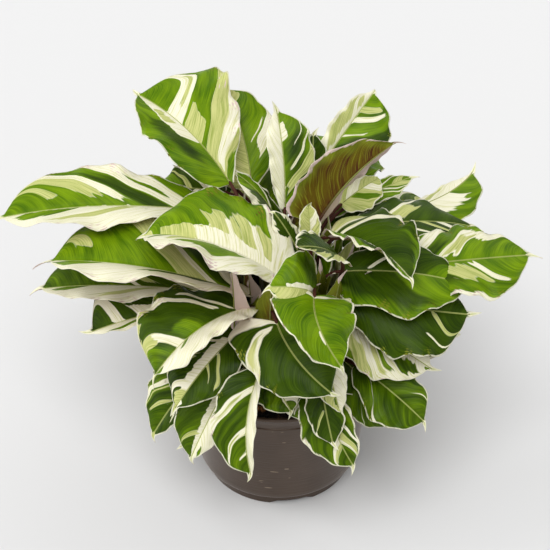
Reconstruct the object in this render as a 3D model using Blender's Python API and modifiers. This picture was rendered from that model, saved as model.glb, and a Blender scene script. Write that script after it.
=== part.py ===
"""Potted calathea: white-variegated leaves grown from one crown in a plain nursery pot.

Metres, +Z up.  The origin is the centre of the pot's underside and the pot stands on z = 0.  Each leaf is one
closed body, petiole and blade, lofted from its foot in the soil to its pointed tip.
"""
import math
from collections import namedtuple

import bmesh
import bpy
import numpy as np

MM = 0.001

# ---- pot and soil, in millimetres ----
RIM_RADIUS = 70.0
POT_HEIGHT = 100.0
WALL = 1.4
RIM_BAND = 11.0
FOOT_HEIGHT = 11.0
FOOT_RADIUS = 56.0
WALL_FOOT_RADIUS = 61.5
FLOOR_TOP = 4.6
CENTRE_PAD_RADIUS = 14.0
NOTCH_AZIMUTHS = (-80, 10, 100, 190)
NOTCH_WIDTH = 28.0
NOTCH_HEIGHT = 2.6
DRAIN_HOLES = 8
DRAIN_RADIUS = 4.5
DRAIN_CIRCLE = 38.0
DRAIN_START = 20.0
SOIL_TOP = 85.0
SOIL_FLAT_RADIUS = 52.0
FIT_GAP = 0.3
TURNED_SIDES = 60
# place on the soil, size and turn of each chip of bark
BARK_CHIPS = (
    ((46.0, -24.0), (10.0, 6.0, 2.5), 35.0),
    ((-14.0, -44.0), (9.0, 5.0, 2.2), -20.0),
    ((-46.0, 14.0), (11.0, 6.0, 2.8), 70.0),
    ((14.0, 47.0), (10.0, 5.0, 2.4), 10.0),
)

# ---- leaves, in millimetres and degrees ----
BLADE_THICKNESS = 1.0
PETIOLE_RADIUS = 1.7
PETIOLE_HANDLE = 0.35
PETIOLE_STATIONS = (0.0, 0.3, 0.6, 0.88)
BLADE_STATIONS = (0.02, 0.10, 0.22, 0.36, 0.50, 0.64, 0.77, 0.89, 0.965)
SECTION_TOP = (1.0, 0.5, 0.0, -0.5, -1.0)
SECTION_UNDER = (-0.5, 0.0, 0.5)

# One row a leaf: the azimuth and radius of its foot on the soil, the blade's base and tip, the azimuth and
# elevation that its upper face looks in, how far the midrib bows towards that face and to its left, the blade's
# width, where it is widest (0 base, 1 tip), the angles at which its left and right halves rise from the midrib,
# and how far they turn down again by the margin.  Lobe is how far the base of each half reaches back past the
# petiole, as a share of the half width.
Leaf = namedtuple("Leaf", "name foot base tip face bow sweep width widest rise turn lobe", defaults=((0.4, 0.4),))
LEAVES = (
    # upright leaves at the top
    Leaf("leaf_top_1", (-135, 26), (-35, 42, 226), (-112, 122, 254), (-80, 55), 6, -6, 104, 0.62, (70, 5), 20),
    Leaf("leaf_top_2", (135, 24), (-20, 70, 204), (-42, 130, 256), (-80, 30), 4, -3, 74, 0.55, (10, 5), 25),
    Leaf("leaf_top_3", (175, 9), (4, 26, 215), (-3, 70, 276), (-85, 25), 4, -2, 40, 0.60, (20, 10), 25),
    Leaf("leaf_top_4", (140, 9), (12, 36, 210), (24, 63, 259), (-60, 25), 3, -3, 26, 0.55, (20, 20), 30),
    Leaf("leaf_top_5", (55, 20), (30, 60, 228), (68, 105, 265), (-80, 55), 5, 0, 50, 0.55, (35, 15), 25),
    Leaf("leaf_young_1", (25, 5), (26, 10, 214), (86, 40, 266), (110, -25), 4, -4, 72, 0.36, (70, 0), 30),
    Leaf("leaf_young_2", (80, 7), (10, 31, 193), (15, 50, 235), (60, 0), 3, 0, 26, 0.45, (60, 60), 20),
    Leaf("leaf_young_3", (20, 11), (22, 0, 205), (20, 10, 232), (-90, 20), 2, 0, 18, 0.50, (30, 30), 20),
    # leaves to the right
    Leaf("leaf_right_1", (15, 18), (45, 49, 202), (78, 79, 212), (-90, 70), 3, 0, 28, 0.50, (10, 10), 30),
    Leaf("leaf_right_2", (35, 20), (50, 60, 192), (103, 98, 202), (-80, 75), 3, 0, 26, 0.45, (10, 25), 30),
    Leaf("leaf_right_3", (-35, 13), (35, 2, 206), (92, -58, 194), (-60, 80), 10, 4, 88, 0.52, (10, 60), 40, (0.6, 0.2)),
    Leaf("leaf_right_4", (-60, 15), (40, -37, 221), (8, -77, 260), (-80, 75), 4, 0, 28, 0.40, (20, 20), 30),
    Leaf("leaf_right_5", (5, 24), (70, 60, 185), (150, 134, 178), (-100, 60), 4, -12, 50, 0.66, (-30, 20), 30),
    Leaf("leaf_right_6", (-15, 20), (55, 30, 195), (150, 60, 172), (-90, 75), 8, 0, 56, 0.55, (0, 30), 35),
    Leaf("leaf_right_7", (-75, 22), (50, -12, 192), (175, 12, 186), (-85, 70), 8, -4, 68, 0.55, (0, 15), 35),
    Leaf("leaf_right_8", (-20, 24), (45, -10, 185), (135, -14, 168), (-85, 65), 8, -4, 60, 0.45, (10, 20), 35),
    Leaf("leaf_right_9", (20, 33), (50, -20, 170), (140, -20, 155), (-85, 55), 10, -4, 70, 0.55, (10, 10), 35),
    Leaf("leaf_right_10", (40, 35), (55, -10, 148), (135, -10, 128), (-85, 50), 8, -4, 54, 0.55, (10, 10), 35),
    Leaf("leaf_right_11", (-25, 31), (45, -40, 165), (112, -62, 136), (-80, 55), 8, 0, 50, 0.50, (15, 15), 35),
    # leaves at the front
    Leaf("leaf_front_1", (-175, 13), (28, -69, 218), (48, -122, 187), (-100, 78), 12, -4, 84, 0.30, (-35, 20), 30, (0.4, 1.2)),
    Leaf("leaf_front_2", (-95, 20), (-2, -58, 181), (40, -108, 156), (-110, 60), 8, -6, 90, 0.35, (10, 5), 35, (0.6, 1.0)),
    Leaf("leaf_front_3", (-115, 26), (-20, -22, 164), (-90, -80, 142), (-110, 65), 14, -4, 88, 0.55, (60, 15), 35, (0.3, 0.6)),
    Leaf("leaf_front_4", (-170, 29), (-30, -40, 155), (-75, -85, 120), (-110, 50), 8, 0, 56, 0.45, (12, 12), 35),
    # low leaves hanging over the rim
    Leaf("leaf_low_1", (-10, 31), (55, -40, 125), (106, -75, 98), (-70, 50), 6, 0, 54, 0.60, (30, 25), 35),
    Leaf("leaf_low_2", (-15, 37), (50, -46, 117), (80, -66, 87), (-90, 30), 6, 0, 44, 0.50, (10, 10), 35),
    Leaf("leaf_low_3", (155, 33), (-45, -20, 120), (-95, -54, 63), (-120, 35), 8, 0, 50, 0.45, (20, 20), 35),
    Leaf("leaf_low_4", (-145, 31), (-30, -50, 130), (-65, -85, 70), (-110, 30), 8, 0, 48, 0.50, (20, 20), 35),
    Leaf("leaf_low_5", (180, 33), (-40, -43, 121), (-80, -72, 69), (-110, 25), 6, 0, 34, 0.50, (20, 20), 35),
    Leaf("leaf_low_6", (-160, 31), (-14, -72, 147), (-18, -114, 83), (-100, 25), 6, -6, 52, 0.52, (60, 25), 30),
    Leaf("leaf_low_7", (-115, 31), (-10, -50, 135), (10, -85, 118), (-90, 40), 4, 0, 44, 0.50, (15, 15), 35),
    Leaf("leaf_low_8", (-95, 31), (8, -50, 128), (20, -80, 104), (-90, 40), 4, 0, 30, 0.45, (15, 15), 35),
    Leaf("leaf_low_9", (-60, 31), (28, -60, 130), (55, -98, 77), (-80, 25), 6, -4, 52, 0.50, (50, 15), 35),
    Leaf("leaf_low_10", (-70, 29), (28, -70, 140), (38, -96, 98), (-95, 30), 5, 0, 36, 0.50, (20, 20), 35),
    Leaf("leaf_low_11", (-45, 31), (30, -60, 160), (42, -92, 126), (-90, 35), 4, 0, 26, 0.50, (15, 15), 35),
    # leaves to the left
    Leaf("leaf_left_1", (-150, 7), (0, -28, 196), (-103, -2, 211), (-90, 80), 16, 0, 100, 0.45, (55, 18), 35, (0.1, 0.9)),
    Leaf("leaf_left_2", (-120, 14), (-20, -14, 168), (-175, -2, 189), (-90, 75), 20, 4, 92, 0.62, (65, 12), 30),
    Leaf("leaf_left_3", (170, 20), (-40, 40, 200), (-205, 30, 200), (-90, 75), 14, 0, 74, 0.66, (45, 15), 30),
    Leaf("leaf_left_4", (150, 20), (-40, 60, 205), (-98, 75, 192), (-90, 75), 6, 0, 44, 0.60, (15, 10), 35),
    Leaf("leaf_left_5", (130, 20), (-35, 76, 198), (-78, 100, 198), (-90, 70), 4, 0, 34, 0.50, (15, 5), 35),
    Leaf("leaf_left_6", (125, 13), (2, 38, 184), (-35, 55, 228), (-60, 45), 5, -4, 48, 0.50, (60, 10), 30),
    Leaf("leaf_left_7", (-90, 7), (15, -10, 200), (-3, 3, 233), (-60, 45), 4, 0, 30, 0.50, (20, 20), 30),
    Leaf("leaf_left_8", (-160, 22), (-40, 2, 156), (-185, 22, 146), (-90, 70), 10, 0, 68, 0.60, (65, 15), 30),
    Leaf("leaf_left_9", (145, 31), (-30, 10, 140), (-142, -5, 117), (-95, 65), 10, 0, 62, 0.66, (65, 12), 30),
    Leaf("leaf_left_10", (-55, 24), (-8, -44, 195), (-60, -67, 204), (-90, 70), 5, 0, 56, 0.45, (15, 15), 35),
    # leaves at the back
    Leaf("leaf_back_1", (75, 20), (20, 62, 181), (60, 177, 176), (60, 80), 14, 0, 76, 0.50, (18, 18), 35),
    Leaf("leaf_back_2", (95, 18), (-15, 67, 171), (-45, 158, 180), (110, 80), 14, 0, 78, 0.50, (18, 18), 35),
    Leaf("leaf_back_3", (75, 31), (50, 45, 165), (125, 120, 150), (40, 75), 12, 0, 72, 0.50, (18, 18), 35),
    Leaf("leaf_back_4", (110, 31), (-50, 45, 165), (-130, 120, 150), (140, 75), 12, 0, 74, 0.50, (18, 18), 35),
    Leaf("leaf_back_5", (95, 31), (5, 55, 145), (5, 155, 110), (90, 60), 12, 0, 70, 0.50, (18, 18), 35),
    Leaf("leaf_back_6", (60, 31), (60, 20, 140), (135, 60, 105), (20, 60), 10, 0, 60, 0.50, (18, 18), 35),
    Leaf("leaf_back_7", (125, 31), (-55, 30, 140), (-130, 65, 100), (160, 60), 10, 0, 62, 0.50, (18, 18), 35),
)
# The blade's body ends here along the midrib, and a narrow tail runs on to the tip.
BODY_END = 0.93
TAIL_HALF_WIDTH = 1.2


def unit(vector):
    return vector / np.linalg.norm(vector)


def facing(azimuth, elevation):
    """Unit vector with the given azimuth and elevation in degrees."""
    turn, rise = math.radians(azimuth), math.radians(elevation)
    return np.array((math.cos(turn) * math.cos(rise), math.sin(turn) * math.cos(rise), math.sin(rise)))


def blade_frames(leaf, stations):
    """Midrib points with their tangent, face normal and left side: a chord with a bow of 4t(1 - t)."""
    base, tip = np.array(leaf.base, float), np.array(leaf.tip, float)
    along = unit(tip - base)
    face = facing(*leaf.face)
    normal = unit(face - face.dot(along) * along)
    left = np.cross(normal, along)
    offset = leaf.bow * normal + leaf.sweep * left
    frames = []
    for t in stations:
        point = base + t * (tip - base) + 4 * t * (1 - t) * offset
        tangent = unit(tip - base + 4 * (1 - 2 * t) * offset)
        up = unit(normal - normal.dot(tangent) * tangent)
        frames.append((point, tangent, up, np.cross(up, tangent)))
    return frames


def outline(leaf, t, reach):
    """Half width at t, and the shift back along the midrib of a point at reach (-1..1).

    The half blade is round at the base, widest at the leaf's own place, and ends in a narrow tail.  Its base
    reaches back in a lobe that fades towards the tip.
    """
    body = min(t / BODY_END, 1.0)
    bulge = math.sin(math.pi * body ** (math.log(0.5) / math.log(leaf.widest)))
    width = leaf.width / 2 * max(bulge, 0.0) ** (0.6 + 0.4 * body ** 2)
    width += TAIL_HALF_WIDTH * min(1.0, 12 * (1 - t))
    return width, -leaf.lobe[reach < 0] * width * abs(reach) * (1 - t) ** 3


def across(leaf, reach):
    """Sideways and upwards position of a point at arc fraction reach (-1..1) on a half blade of length 1."""
    rise = math.radians(leaf.rise[0] if reach > 0 else leaf.rise[1])
    turn = math.radians(leaf.turn)
    end = rise - turn * abs(reach)
    sideways = (math.sin(rise) - math.sin(end)) / turn
    upwards = (math.cos(end) - math.cos(rise)) / turn
    return math.copysign(sideways, reach), upwards


def blade_point(leaf, t, frame, reach):
    """Point of the upper face at t along the midrib and reach (-1 right margin, 1 left margin) across it."""
    point, tangent, up, left = frame
    width, back = outline(leaf, t, reach)
    sideways, upwards = across(leaf, reach)
    return point + back * tangent + width * (sideways * left + upwards * up)


# ---- blender ----


def start_empty():
    """Remove every object of the file that is open, and make the collection for the parts."""
    for thing in list(bpy.data.objects):
        bpy.data.objects.remove(thing, do_unlink=True)
    collection = bpy.data.collections.new("potted_calathea")
    bpy.context.scene.collection.children.link(collection)
    cutters = bpy.data.collections.new("cutters")
    bpy.context.scene.collection.children.link(cutters)
    return collection, cutters


def material(name, colour, roughness):
    """Principled material with the part's colour and roughness."""
    made = bpy.data.materials.new(name)
    made.use_nodes = True
    shader = made.node_tree.nodes["Principled BSDF"]
    shader.inputs["Base Color"].default_value = (*colour, 1.0)
    shader.inputs["Roughness"].default_value = roughness
    shader.inputs["Metallic"].default_value = 0.0
    made.diffuse_color = (*colour, 1.0)
    return made


def add_object(name, mesh, collection, surface=None):
    made = bpy.data.objects.new(name, mesh)
    collection.objects.link(made)
    if surface:
        mesh.materials.append(surface)
    return made


def turned(name, profile, collection, surface):
    """Body of revolution about Z of (radius, height) points in millimetres, which start and end on the axis."""
    mesh = bpy.data.meshes.new(name)
    mesh.from_pydata([(radius * MM, 0.0, height * MM) for radius, height in profile],
                     [(index, index + 1) for index in range(len(profile) - 1)], [])
    made = add_object(name, mesh, collection, surface)
    spin = made.modifiers.new("turn", "SCREW")
    spin.steps = TURNED_SIDES
    spin.render_steps = TURNED_SIDES
    spin.use_merge_vertices = True
    spin.merge_threshold = 0.00001
    spin.use_smooth_shade = True
    return made


def cut(target, name, tool_mesh, cutters):
    """Boolean difference of the target with a tool mesh that stays hidden in the cutters collection."""
    tool = add_object(name, tool_mesh, cutters)
    tool.hide_render = True
    tool.display_type = "WIRE"
    difference = target.modifiers.new(name, "BOOLEAN")
    difference.operation = "DIFFERENCE"
    difference.object = tool
    return tool


def pot(collection, cutters, surface):
    """Thin-walled pot: rolled lip, inner ledge, ridge under the rim, foot band, floor with a centre pad."""
    ridge = POT_HEIGHT - RIM_BAND
    inner_foot = WALL_FOOT_RADIUS - WALL
    profile = (
        (0.0, WALL),
        (CENTRE_PAD_RADIUS - WALL, WALL),
        (CENTRE_PAD_RADIUS, FLOOR_TOP),
        (FOOT_RADIUS - 2 * WALL, FLOOR_TOP),
        (FOOT_RADIUS - WALL, FOOT_HEIGHT + WALL),
        (inner_foot, FOOT_HEIGHT + WALL),
        (RIM_RADIUS - 2 * WALL, ridge),
        (RIM_RADIUS - 2.2 * WALL, POT_HEIGHT - 5.0),
        (RIM_RADIUS - 2.8 * WALL, POT_HEIGHT - 4.5),
        (RIM_RADIUS - 2.8 * WALL, POT_HEIGHT - 3.0),
        (RIM_RADIUS - 2.0 * WALL, POT_HEIGHT - 2.5),
        (RIM_RADIUS - 1.6 * WALL, POT_HEIGHT - 0.3),
        (RIM_RADIUS - 1.0, POT_HEIGHT),
        (RIM_RADIUS, POT_HEIGHT - 1.0),
        (RIM_RADIUS, POT_HEIGHT - 2.5),
        (RIM_RADIUS - 0.6, POT_HEIGHT - 3.2),
        (RIM_RADIUS - 1.0, ridge + 1.0),
        (RIM_RADIUS - 0.5, ridge + 0.5),
        (RIM_RADIUS - 0.5, ridge - 0.3),
        (RIM_RADIUS - 1.2, ridge - 0.8),
        (WALL_FOOT_RADIUS, FOOT_HEIGHT + 0.6),
        (WALL_FOOT_RADIUS - 0.5, FOOT_HEIGHT),
        (FOOT_RADIUS + 0.8, FOOT_HEIGHT),
        (FOOT_RADIUS, 0.0),
        (FOOT_RADIUS - WALL, 0.0),
        (FOOT_RADIUS - WALL, FLOOR_TOP - WALL),
        (CENTRE_PAD_RADIUS + WALL, FLOOR_TOP - WALL),
        (CENTRE_PAD_RADIUS, 0.0),
        (0.0, 0.0),
    )
    body = turned("pot", profile, collection, surface)
    for turn in NOTCH_AZIMUTHS:
        tool = bmesh.new()
        bmesh.ops.create_cube(tool, size=1.0)
        for corner in tool.verts:
            width = NOTCH_WIDTH * (0.72 if corner.co.z > 0 else 1.0)
            corner.co.x *= 12.0 * MM
            corner.co.y *= width * MM
            corner.co.z *= 2 * NOTCH_HEIGHT * MM
        mesh = bpy.data.meshes.new("notch")
        tool.to_mesh(mesh)
        tool.free()
        notch = cut(body, f"notch_{turn}", mesh, cutters)
        notch.location = FOOT_RADIUS * MM * np.append(facing(turn, 0)[:2], 0.0)
        notch.rotation_euler.z = math.radians(turn)
    for index in range(DRAIN_HOLES):
        tool = bmesh.new()
        bmesh.ops.create_cone(tool, cap_ends=True, segments=12, radius1=DRAIN_RADIUS * MM,
                              radius2=DRAIN_RADIUS * MM, depth=4 * WALL * MM)
        mesh = bpy.data.meshes.new("drain")
        tool.to_mesh(mesh)
        tool.free()
        drain = cut(body, f"drain_{index}", mesh, cutters)
        turn = DRAIN_START + 360.0 * index / DRAIN_HOLES
        drain.location = MM * (DRAIN_CIRCLE * facing(turn, 0) + (0, 0, FLOOR_TOP - WALL / 2))


def soil(collection, surface):
    """Potting mix that fills the pot to SOIL_TOP, with a small gap to the wall and the floor."""
    wall_slope = (RIM_RADIUS - 2 * WALL - WALL_FOOT_RADIUS + WALL) / (POT_HEIGHT - RIM_BAND - FOOT_HEIGHT - WALL)

    def wall_radius(height):
        return WALL_FOOT_RADIUS - WALL + wall_slope * (height - FOOT_HEIGHT - WALL) - FIT_GAP

    shoulder = SOIL_TOP - 2.0
    low = FOOT_HEIGHT + WALL + FIT_GAP
    profile = (
        (0.0, SOIL_TOP),
        (SOIL_FLAT_RADIUS, SOIL_TOP),
        (wall_radius(shoulder), shoulder),
        (wall_radius(low), low),
        (FOOT_RADIUS - WALL - FIT_GAP - 0.2, low),
        (FOOT_RADIUS - 2 * WALL - FIT_GAP, FLOOR_TOP + FIT_GAP),
        (0.0, FLOOR_TOP + FIT_GAP),
    )
    turned("soil", profile, collection, surface)


def bark_chip(name, place, size, turn, collection, surface):
    """Flat chip of bark lying on the soil, wider at one end, with rounded edges."""
    shape = bmesh.new()
    bmesh.ops.create_cube(shape, size=1.0)
    length, width, height = size
    for corner in shape.verts:
        taper = 1.0 if corner.co.x > 0 else 0.65
        corner.co.x *= length * MM
        corner.co.y *= width * taper * MM
        corner.co.z = (corner.co.z + 0.5) * height * MM
    mesh = bpy.data.meshes.new(name)
    shape.to_mesh(mesh)
    shape.free()
    chip = add_object(name, mesh, collection, surface)
    chip.location = MM * np.array((*place, SOIL_TOP + FIT_GAP))
    chip.rotation_euler.z = math.radians(turn)
    edge = chip.modifiers.new("edge", "BEVEL")
    edge.width = 0.8 * MM
    edge.segments = 2


def petiole_frames(leaf):
    """Frames along the petiole: a cubic from the foot, starting upwards, into the start of the midrib."""
    azimuth, radius = leaf.foot
    foot = radius * facing(azimuth, 0) + (0, 0, SOIL_TOP + FIT_GAP)
    base, tangent, _, left = blade_frames(leaf, (0.0,))[0]
    reach = PETIOLE_HANDLE * np.linalg.norm(base - foot)
    first = foot + (0, 0, reach)
    second = base - reach * tangent
    frames = []
    for t in PETIOLE_STATIONS:
        s = 1 - t
        point = s ** 3 * foot + 3 * s * s * t * first + 3 * s * t * t * second + t ** 3 * base
        along = unit(s * s * (first - foot) + 2 * s * t * (second - first) + t * t * (base - second))
        side = unit(left - left.dot(along) * along)
        frames.append((point, along, np.cross(along, side), side))
    return frames


def leaf_body(leaf, collection, surface):
    """Loft of eight-point sections: round along the petiole, a thin folded sheet along the blade."""
    loops = []
    for point, _, up, left in petiole_frames(leaf):
        angles = [math.radians(45 * corner) for corner in range(8)]
        loops.append([point + PETIOLE_RADIUS * (math.cos(a) * left + math.sin(a) * up) for a in angles])
    for t, frame in zip(BLADE_STATIONS, blade_frames(leaf, BLADE_STATIONS)):
        top = [blade_point(leaf, t, frame, reach) for reach in SECTION_TOP]
        under = [blade_point(leaf, t, frame, reach) - BLADE_THICKNESS * frame[2] for reach in SECTION_UNDER]
        loops.append(top + under)

    shape = bmesh.new()
    rings = [[shape.verts.new(MM * point) for point in loop] for loop in loops]
    tip = shape.verts.new(MM * np.array(leaf.tip, float))
    shape.faces.new(rings[0][::-1])
    for ring, following in zip(rings, rings[1:]):
        for corner in range(8):
            after = (corner + 1) % 8
            shape.faces.new((ring[corner], ring[after], following[after], following[corner]))
    for corner in range(8):
        shape.faces.new((rings[-1][corner], rings[-1][(corner + 1) % 8], tip))
    bmesh.ops.triangulate(shape, faces=shape.faces[:])
    bmesh.ops.recalc_face_normals(shape, faces=shape.faces[:])
    mesh = bpy.data.meshes.new(leaf.name)
    shape.to_mesh(mesh)
    shape.free()
    add_object(leaf.name, mesh, collection, surface)


def build():
    collection, cutters = start_empty()
    plastic = material("taupe_plastic", (0.085, 0.068, 0.056), 0.45)
    mix = material("potting_mix", (0.012, 0.010, 0.008), 0.95)
    bark = material("bark", (0.30, 0.11, 0.02), 0.85)
    green = material("leaf_green", (0.09, 0.22, 0.02), 0.4)
    pot(collection, cutters, plastic)
    soil(collection, mix)
    for number, chip in enumerate(BARK_CHIPS, 1):
        bark_chip(f"bark_chip_{number}", *chip, collection, bark)
    for leaf in LEAVES:
        leaf_body(leaf, collection, green)


build()
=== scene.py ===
"""Potted prayer plant: a thin taupe nursery pot, potting mix with chips of bark, and leaves banded in green,
sage and cream on maroon stalks."""
import math
from collections import namedtuple

import bpy
import numpy as np
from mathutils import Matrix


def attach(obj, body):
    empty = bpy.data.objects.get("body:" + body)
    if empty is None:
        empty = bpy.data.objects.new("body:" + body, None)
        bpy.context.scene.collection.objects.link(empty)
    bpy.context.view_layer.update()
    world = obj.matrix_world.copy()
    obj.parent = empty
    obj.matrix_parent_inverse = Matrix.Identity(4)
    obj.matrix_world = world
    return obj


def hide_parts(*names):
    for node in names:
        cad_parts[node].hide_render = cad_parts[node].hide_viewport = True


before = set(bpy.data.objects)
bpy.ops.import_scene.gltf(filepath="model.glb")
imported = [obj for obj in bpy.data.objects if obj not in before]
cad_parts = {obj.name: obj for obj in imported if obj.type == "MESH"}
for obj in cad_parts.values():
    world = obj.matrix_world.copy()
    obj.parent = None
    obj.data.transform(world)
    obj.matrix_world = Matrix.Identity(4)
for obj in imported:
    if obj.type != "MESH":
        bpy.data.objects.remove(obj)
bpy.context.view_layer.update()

# ---- studio: a pale floor, even light from all round, and three soft lamps: a broad one high in front, a
# faint one behind, and a low one at the left.  The camera stands about a metre away and looks down on the
# plant.
CAMERA_DISTANCE = 1.10
CAMERA_ELEVATION = math.radians(38.7)
CAMERA_TARGET = (-0.003, 0.0, 0.1755)
LENS_MM = 101.1
SENSOR_MM = 36.0
FLOOR_HALF = 6.0
FLOOR_DROP = 0.0004
FLOOR_SHADE = 0.70
WORLD_STRENGTH = 0.545


class Socket:
    """An output socket; arithmetic on it adds Math nodes to its tree."""

    def __init__(self, finish, socket):
        self.finish, self.socket = finish, socket

    def math(self, operation, first, second=0.0):
        return self.finish.node("ShaderNodeMath", {"operation": operation}, {0: first, 1: second})

    def __add__(self, other):
        return self.math("ADD", self, other)

    __radd__ = __add__

    def __mul__(self, other):
        return self.math("MULTIPLY", self, other)

    __rmul__ = __mul__

    def __sub__(self, other):
        return self.math("SUBTRACT", self, other)

    def __rsub__(self, other):
        return self.math("SUBTRACT", other, self)

    def min(self, other):
        return self.math("MINIMUM", self, other)

    def abs(self):
        return self.math("ABSOLUTE", self)

    def step(self, low, high):
        """0 below low, 1 above high, and a smooth step between."""
        return self.finish.node("ShaderNodeMapRange", {"interpolation_type": "SMOOTHSTEP"},
                                {"Value": self, "From Min": low, "From Max": high})

    def split(self):
        """The three parts of a vector."""
        first = self.finish.node("ShaderNodeSeparateXYZ", {}, {0: self})
        return [Socket(self.finish, output) for output in first.socket.node.outputs]


class Finish:
    """A Principled material whose nodes are all added by node()."""

    def __init__(self, name, roughness):
        self.material = bpy.data.materials.new(name)
        self.material.use_nodes = True
        self.tree = self.material.node_tree
        self.surface = self.tree.nodes["Principled BSDF"].inputs
        self.surface["Roughness"].default_value = roughness

    def feed(self, socket, value):
        if isinstance(value, Socket):
            self.tree.links.new(value.socket, socket)
        else:
            socket.default_value = value

    def node(self, kind, settings=None, values=None, output=0):
        made = self.tree.nodes.new(kind)
        for key, value in (settings or {}).items():
            setattr(made, key, value)
        for key, value in (values or {}).items():
            self.feed(made.inputs[key], value)
        return Socket(self, made.outputs[output])

    def mix(self, share, first, second):
        """Colour that goes from first to second with share; 6 and 7 are the node's colours, 2 their mix."""
        colours = [c if isinstance(c, Socket) else (*c, 1.0) for c in (first, second)]
        return self.node("ShaderNodeMix", {"data_type": "RGBA"}, {0: share, 6: colours[0], 7: colours[1]}, 2)

    def noise(self, vector, scale, detail, roughness=0.5):
        return self.node("ShaderNodeTexNoise", {}, {"Vector": vector, "Scale": scale, "Detail": detail,
                                                    "Roughness": roughness})

    def stretched(self, vector, scale):
        """Vector with each of its parts multiplied, which draws a noise out along the smallest."""
        return self.node("ShaderNodeVectorMath", {"operation": "MULTIPLY"}, {0: vector, 1: scale})

    def bump(self, height, distance, strength):
        self.feed(self.surface["Normal"], self.node(
            "ShaderNodeBump", {}, {"Height": height, "Distance": distance, "Strength": strength}))


floor = Finish("studio_floor", 0.9)
floor.surface["Base Color"].default_value = (FLOOR_SHADE, FLOOR_SHADE, FLOOR_SHADE, 1.0)
floor.surface["Specular IOR Level"].default_value = 0.0
floor_mesh = bpy.data.meshes.new("floor")
floor_mesh.from_pydata([(x * FLOOR_HALF, y * FLOOR_HALF, -FLOOR_DROP)
                        for x, y in ((-1, -1), (1, -1), (1, 1), (-1, 1))], [], [(0, 1, 2, 3)])
floor_mesh.materials.append(floor.material)
floor_piece = bpy.data.objects.new("floor", floor_mesh)
bpy.context.scene.collection.objects.link(floor_piece)

world = bpy.data.worlds.new("studio")
world.use_nodes = True
world.node_tree.nodes["Background"].inputs["Color"].default_value = (1.0, 1.0, 1.0, 1.0)
world.node_tree.nodes["Background"].inputs["Strength"].default_value = WORLD_STRENGTH
bpy.context.scene.world = world
bpy.context.scene.view_settings.view_transform = "Standard"


def add_lamp(name, azimuth, elevation, strength, softness):
    """Distant lamp that shines from an azimuth and elevation in degrees."""
    lamp = bpy.data.lights.new(name, "SUN")
    lamp.energy = strength
    lamp.angle = math.radians(softness)
    holder = bpy.data.objects.new(name, lamp)
    holder.rotation_euler = (math.radians(90 - elevation), 0.0, math.radians(azimuth + 90))
    bpy.context.scene.collection.objects.link(holder)


add_lamp("key_lamp", azimuth=-104, elevation=60, strength=1.95, softness=42)
add_lamp("rim_lamp", azimuth=60, elevation=50, strength=0.35, softness=50)
add_lamp("side_lamp", azimuth=172, elevation=18, strength=1.25, softness=40)

camera = bpy.data.cameras.new("camera")
camera.lens = LENS_MM
camera.sensor_width = SENSOR_MM
camera_holder = bpy.data.objects.new("camera", camera)
camera_holder.location = (CAMERA_TARGET[0], -CAMERA_DISTANCE * math.cos(CAMERA_ELEVATION),
                          CAMERA_TARGET[2] + CAMERA_DISTANCE * math.sin(CAMERA_ELEVATION))
camera_holder.rotation_euler = (math.pi / 2 - CAMERA_ELEVATION, 0.0, 0.0)
bpy.context.scene.collection.objects.link(camera_holder)
bpy.context.scene.camera = camera_holder

# ---- pot: thermoformed from one sheet of brown-grey plastic, with a turned lip, a stacking ledge inside it,
# a raised line under the band of the lip, and a foot cut by four drain notches.
RIM_RADIUS = 70.0
POT_HEIGHT = 100.0
WALL = 1.4
RIM_BAND = 11.0
FOOT_HEIGHT = 11.0
FOOT_RADIUS = 56.0
WALL_FOOT_RADIUS = 61.5
FLOOR_TOP = 4.6
PAD_RADIUS = 14.0
POT_SIDES = 288
RING_STEP = 4.0
SHARP_ANGLE = 38.0
NOTCH_AZIMUTHS = (-80, 10, 100, 190)
NOTCH_WIDTH = 28.0
NOTCH_SLOPE = 6.0
NOTCH_HEIGHT = 2.6
DRAIN_HOLES = 8
DRAIN_RADIUS = 4.5
DRAIN_CIRCLE = 38.0
DRAIN_START = 20.0
MM = 0.001


def mesh_of(name, points, quads, caps, attributes=None):
    """Smooth-shaded mesh from points in millimetres, quads, round caps, and vector values at its points."""
    mesh = bpy.data.meshes.new(name)
    mesh.vertices.add(len(points))
    mesh.vertices.foreach_set("co", (points * MM).astype(np.float32).ravel())
    corners = np.concatenate([quads.ravel(), *caps]).astype(np.int32)
    sizes = np.array([4] * len(quads) + [len(cap) for cap in caps], dtype=np.int32)
    mesh.loops.add(len(corners))
    mesh.loops.foreach_set("vertex_index", corners)
    mesh.polygons.add(len(sizes))
    mesh.polygons.foreach_set("loop_start", np.cumsum(sizes, dtype=np.int32) - sizes)
    mesh.update(calc_edges=True)
    mesh.polygons.foreach_set("use_smooth", np.ones(len(sizes), dtype=bool))
    for key, values in (attributes or {}).items():
        layer = mesh.attributes.new(key, "FLOAT_VECTOR", "POINT")
        layer.data.foreach_set("vector", values.astype(np.float32).ravel())
    return mesh


def add_piece(name, mesh, material, *nodes):
    """Object of the plant that stands for CAD nodes, or for none."""
    piece = bpy.data.objects.new(name, mesh)
    bpy.context.scene.collection.objects.link(piece)
    mesh.materials.append(material)
    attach(piece, "root")
    if nodes:
        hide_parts(*nodes)
    return piece


def tube_quads(rings, sides):
    """Quads of a tube whose points are numbered ring by ring."""
    side = np.arange(sides)
    after = (side + 1) % sides
    first_ring = np.stack((side, after, after + sides, side + sides), -1)
    return (first_ring + sides * np.arange(rings - 1)[:, None, None]).reshape(-1, 4)


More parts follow.
